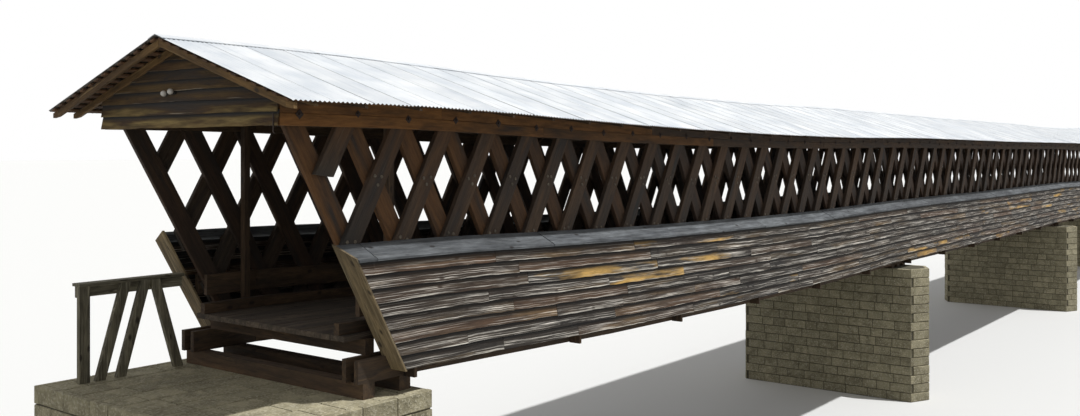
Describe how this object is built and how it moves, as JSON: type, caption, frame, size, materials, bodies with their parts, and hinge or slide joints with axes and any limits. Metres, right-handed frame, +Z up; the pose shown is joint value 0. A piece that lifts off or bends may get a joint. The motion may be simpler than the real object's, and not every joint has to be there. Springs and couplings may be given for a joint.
{
  "type": "covered timber bridge, 1:2 scale model",
  "caption": "Covered bridge for one lane on plank lattice trusses, with lapped siding to half height, a corrugated metal roof and stone piers",
  "frame": {"origin": "middle of the bridge, on the ground plane under the piers", "axes": "+X along the bridge away from the pictured portal, +Y to the side with the approach railings, +Z up"},
  "size_m": [32.1728, 2.76, 4.13],
  "materials": {
    "abutments": "coursed squared stone, weathered",
    "bed_timbers": "rough sawn old timber, dark",
    "cap_boards": "sawn boards weathered grey",
    "deck": "rough sawn old timber, dark",
    "eave_plates": "rough sawn old timber, dark",
    "end_boards": "pale weathered board",
    "floor_beams": "rough sawn old timber, dark",
    "gable_rafters": "pale sawn timber",
    "gable_walls": "lapped brown boards",
    "knee_braces": "rough sawn old timber, dark",
    "lamp_bulbs": "white frosted glass",
    "lamp_sockets": "dark painted metal",
    "lattice_inner": "rough sawn old timber, dark",
    "lattice_outer": "rough sawn old timber, dark",
    "lower_chords_inner": "rough sawn old timber, dark",
    "lower_chords_outer": "rough sawn old timber, dark",
    "piers": "coursed squared stone, cream and green with lichen",
    "portal_posts": "rough sawn old timber, dark",
    "rafters": "rough sawn old timber, dark",
    "railing_boards": "rough sawn old timber, dark",
    "railing_caps": "rough sawn old timber, dark",
    "railing_posts": "rough sawn old timber, dark",
    "ridge_cap": "folded galvanised sheet",
    "roof_nailers": "rough sawn old timber, dark",
    "roof_sheets": "corrugated galvanised sheet, near white in sun, streaked",
    "siding": "rough lapped boards, weathered, with newer golden ones",
    "siding_studs": "rough sawn old timber, dark",
    "tie_beams": "rough sawn old timber, dark",
    "upper_chords_inner": "rough sawn old timber, dark",
    "upper_chords_outer": "oiled heavy board, orange brown near the portal",
    "wheel_guards": "rough sawn old timber, dark"
  },
  "bodies": {
    "root": {"abutments": "abutments", "bed_timbers": "bed_timbers", "cap_boards": "cap_boards", "deck": "deck", "eave_plates": "eave_plates", "end_boards": "end_boards", "floor_beams": "floor_beams", "gable_rafters": "gable_rafters", "gable_walls": "gable_walls", "knee_braces": "knee_braces", "lamp_bulbs": "lamp_bulbs", "lamp_sockets": "lamp_sockets", "lattice_inner": "lattice_inner", "lattice_outer": "lattice_outer", "lower_chords_inner": "lower_chords_inner", "lower_chords_outer": "lower_chords_outer", "piers": "piers", "portal_posts": "portal_posts", "rafters": "rafters", "railing_boards": "railing_boards", "railing_caps": "railing_caps", "railing_posts": "railing_posts", "ridge_cap": "ridge_cap", "roof_nailers": "roof_nailers", "roof_sheets": "roof_sheets", "siding": "siding", "siding_studs": "siding_studs", "tie_beams": "tie_beams", "upper_chords_inner": "upper_chords_inner", "upper_chords_outer": "upper_chords_outer", "wheel_guards": "wheel_guards"}
  },
  "joints": []
}
